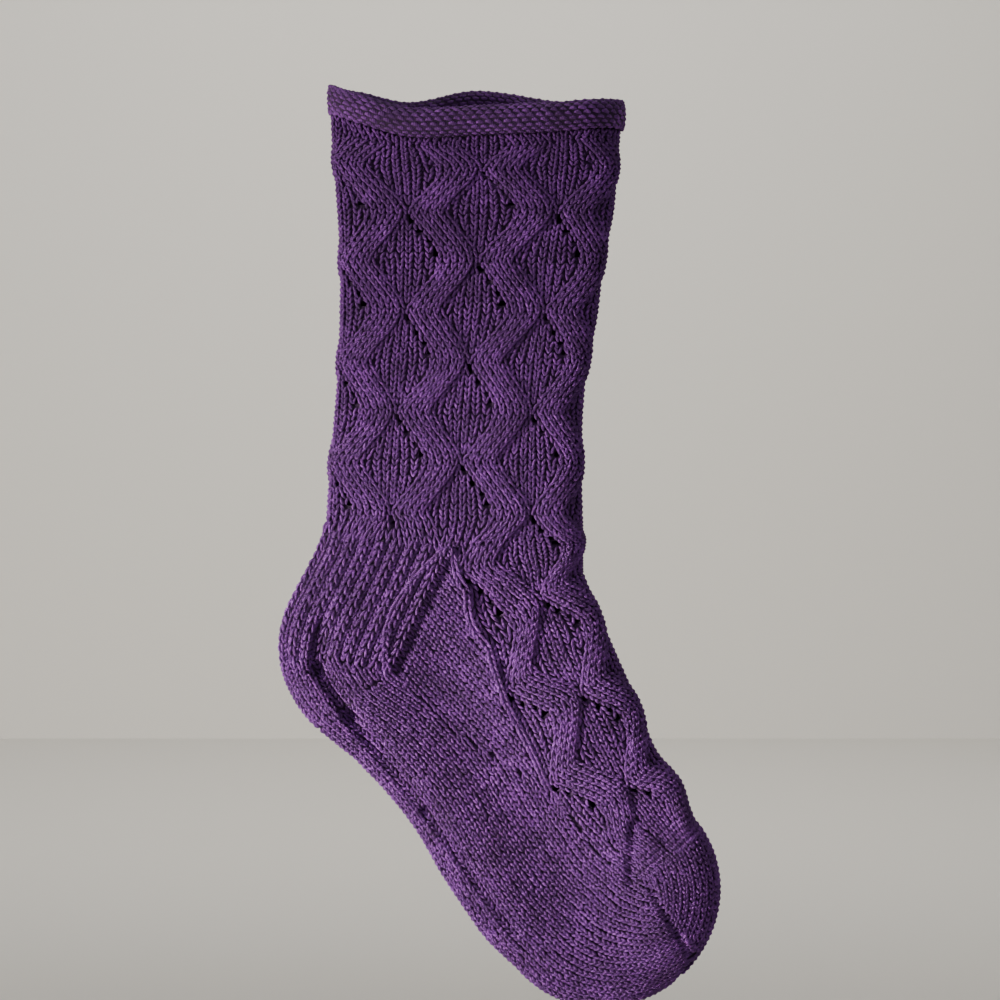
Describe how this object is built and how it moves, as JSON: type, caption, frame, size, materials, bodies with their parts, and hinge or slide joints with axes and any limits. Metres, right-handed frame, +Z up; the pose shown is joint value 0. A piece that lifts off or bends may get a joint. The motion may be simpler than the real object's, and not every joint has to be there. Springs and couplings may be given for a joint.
{
  "type": "hand-knit sock",
  "caption": "Hand-knit sock hanging open-mouthed, with a rolled cuff, zigzag lace leg and instep, ribbed heel flap, side gussets and a rounded toe.",
  "frame": {"origin": "crest of the far rim of the rolled cuff, at the point where a clip, peg or line holds it", "axes": "+Z up, +X from the back of the leg to its front, -Y the near side of the sock"},
  "size_m": [0.1924, 0.0462, 0.4021],
  "materials": {
    "purple_yarn": "hand-knit plied yarn, matt"
  },
  "bodies": {
    "root": {"rolled_cuff": "purple_yarn", "leg": "purple_yarn", "heel_flap": "purple_yarn", "heel_turn": "purple_yarn", "gusset_near": "purple_yarn", "gusset_far": "purple_yarn", "instep": "purple_yarn", "sole": "purple_yarn", "toe": "purple_yarn"}
  },
  "joints": []
}
